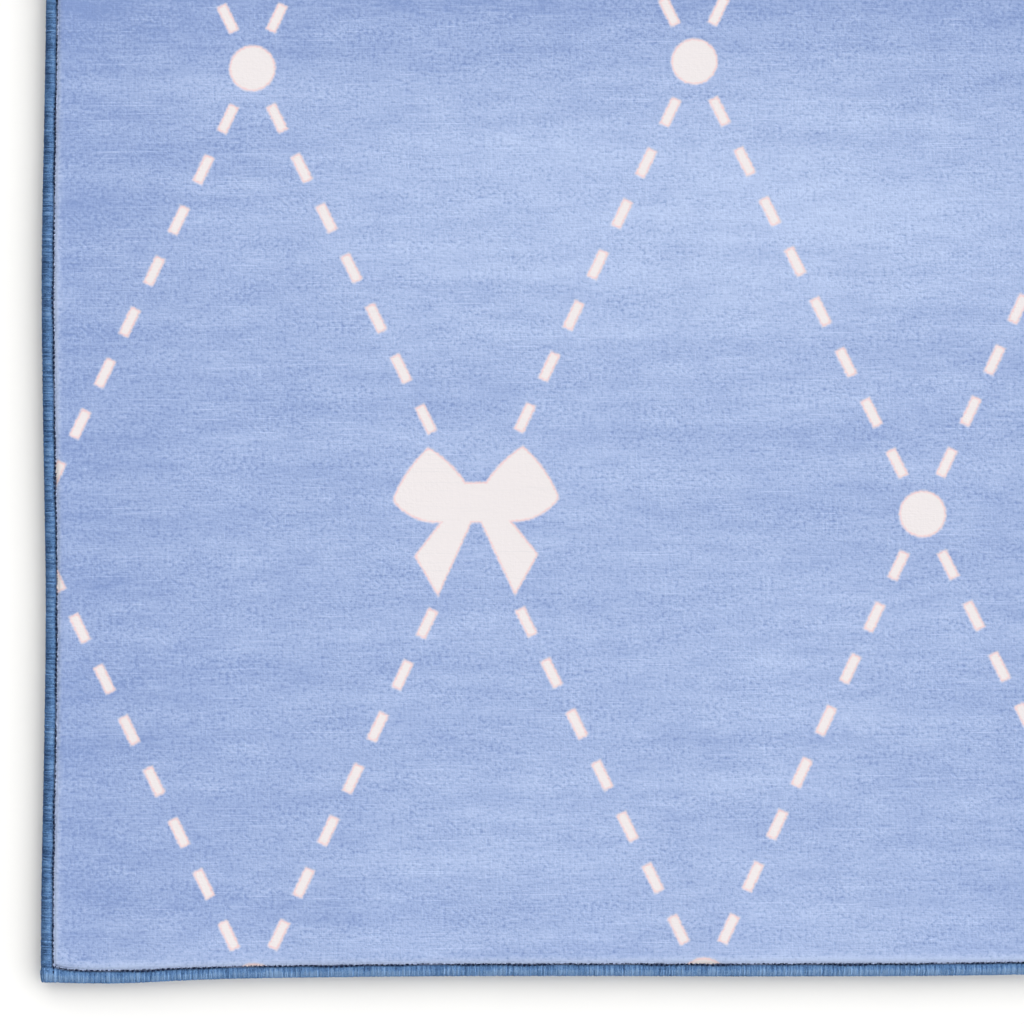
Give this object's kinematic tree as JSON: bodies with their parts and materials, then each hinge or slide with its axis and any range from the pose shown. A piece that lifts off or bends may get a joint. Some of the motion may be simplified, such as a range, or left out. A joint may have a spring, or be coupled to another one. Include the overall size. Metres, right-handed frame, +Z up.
{
  "type": "accent rug",
  "caption": "Rectangular accent rug: a printed napped face on a laminated cloth stack with rubber grip dots, overlocked all round, that folds in half.",
  "frame": {"origin": "middle of the underside, on the floor", "axes": "+X across the width, +Y along the length towards the far end, +Z up out of the printed face"},
  "size_m": [0.61, 0.914, 0.006],
  "materials": {
    "printed_nap": "brushed polyester nap, pale heathered blue with a warm white print",
    "ground_cloth": "woven polyester, tinted blue like the face",
    "bond_film": "milky hot-melt film",
    "felt": "needled grey felt",
    "backing_cloth": "coarse natural canvas",
    "grip_rubber": "soft milky rubber",
    "edge_yarn": "textured denim-blue polyester yarn",
    "needle_thread": "navy spun thread",
    "looper_thread": "blue textured thread",
    "label_satin": "white woven satin, blank",
    "label_thread": "white spun thread"
  },
  "bodies": {
    "near_half": {"printed_nap_near": "printed_nap", "ground_cloth_near": "ground_cloth", "upper_bond_film_near": "bond_film", "felt_interlining_near": "felt", "lower_bond_film_near": "bond_film", "backing_cloth_near": "backing_cloth", "grip_dots_near": "grip_rubber", "edge_yarn_near_end": "edge_yarn", "edge_yarn_left_near": "edge_yarn", "edge_yarn_right_near": "edge_yarn", "needle_thread_near_end": "needle_thread", "needle_thread_left_near": "needle_thread", "needle_thread_right_near": "needle_thread", "looper_thread_near_end": "looper_thread", "looper_thread_left_near": "looper_thread", "looper_thread_right_near": "looper_thread", "care_label": "label_satin", "label_stitching": "label_thread"},
    "far_half": {"printed_nap_far": "printed_nap", "ground_cloth_far": "ground_cloth", "upper_bond_film_far": "bond_film", "felt_interlining_far": "felt", "lower_bond_film_far": "bond_film", "backing_cloth_far": "backing_cloth", "grip_dots_far": "grip_rubber", "edge_yarn_far_end": "edge_yarn", "edge_yarn_left_far": "edge_yarn", "edge_yarn_right_far": "edge_yarn", "needle_thread_far_end": "needle_thread", "needle_thread_left_far": "needle_thread", "needle_thread_right_far": "needle_thread", "looper_thread_far_end": "looper_thread", "looper_thread_left_far": "looper_thread", "looper_thread_right_far": "looper_thread"}
  },
  "joints": [
    {"name": "fold_in_half", "type": "hinge", "parent": "near_half", "child": "far_half", "pos_m": [0, 0, 0.007], "axis": [1, 0, 0], "range_deg": [0, 179.8]}
  ]
}
